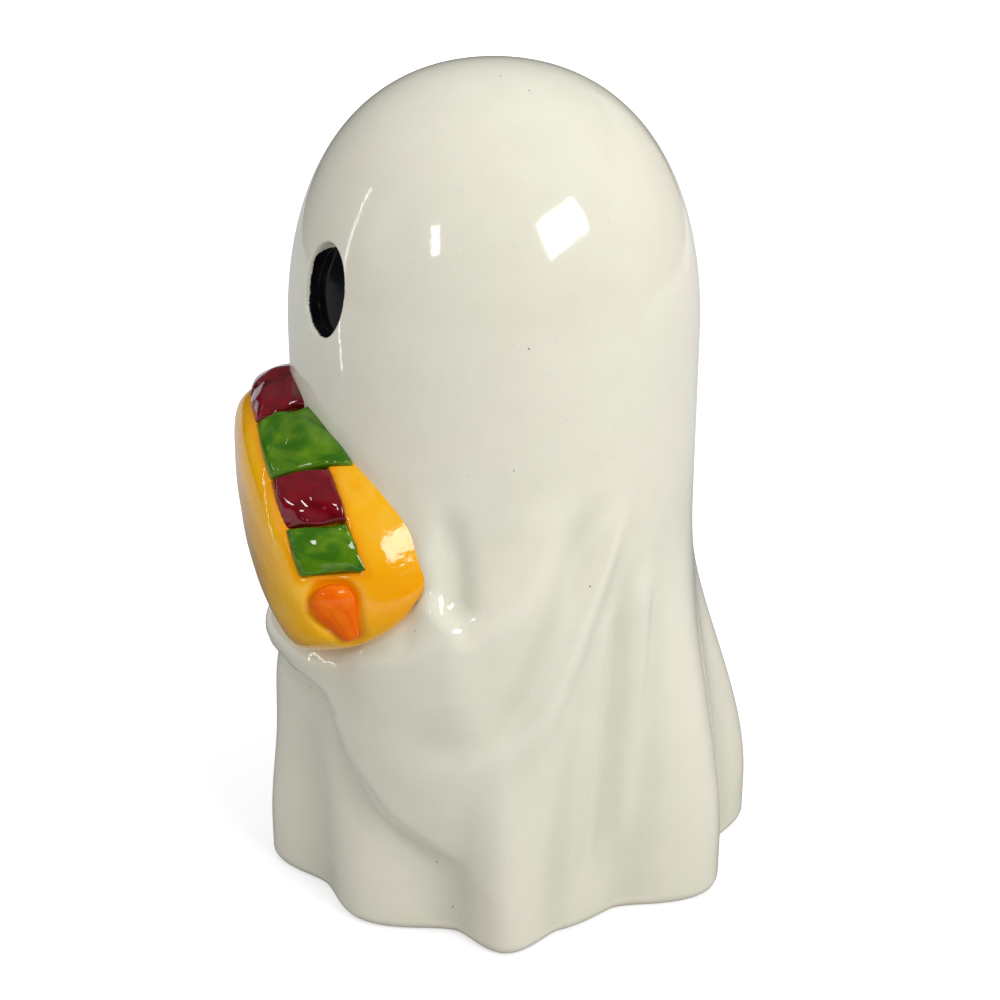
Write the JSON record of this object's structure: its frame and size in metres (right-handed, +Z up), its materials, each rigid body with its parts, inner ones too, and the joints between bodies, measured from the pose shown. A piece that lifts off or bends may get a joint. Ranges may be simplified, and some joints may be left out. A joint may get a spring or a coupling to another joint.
{
  "type": "ceramic ghost figure",
  "caption": "Glossy white ceramic sheet ghost with a domed head, dark oval eyes and a wavy hem, holding a large yellow taco with red, green and orange filling; a tabletop decoration",
  "frame": {"origin": "where the axis of the domed body meets the flat base", "axes": "+Z up the body, -Y the way the face and the taco look, +X to the figure's left"},
  "size_m": [0.0908, 0.1075, 0.165],
  "materials": {
    "white_glaze": "glossy warm white glaze with fine specks",
    "black_glaze": "glossy black glaze",
    "yellow_glaze": "brushed golden yellow under clear glaze",
    "red_glaze": "dark red under clear glaze",
    "green_glaze": "brushed leaf green under clear glaze",
    "orange_glaze": "orange under clear glaze"
  },
  "bodies": {
    "root": {"ghost_body": "white_glaze", "eye_left": "black_glaze", "eye_right": "black_glaze", "taco_shell": "yellow_glaze", "tomato_top": "red_glaze", "tomato_side_left": "red_glaze", "tomato_side_right": "red_glaze", "lettuce_upper_left": "green_glaze", "lettuce_upper_right": "green_glaze", "lettuce_lower_left": "green_glaze", "lettuce_lower_right": "green_glaze", "cheese_left": "orange_glaze", "cheese_right": "orange_glaze"}
  },
  "joints": []
}
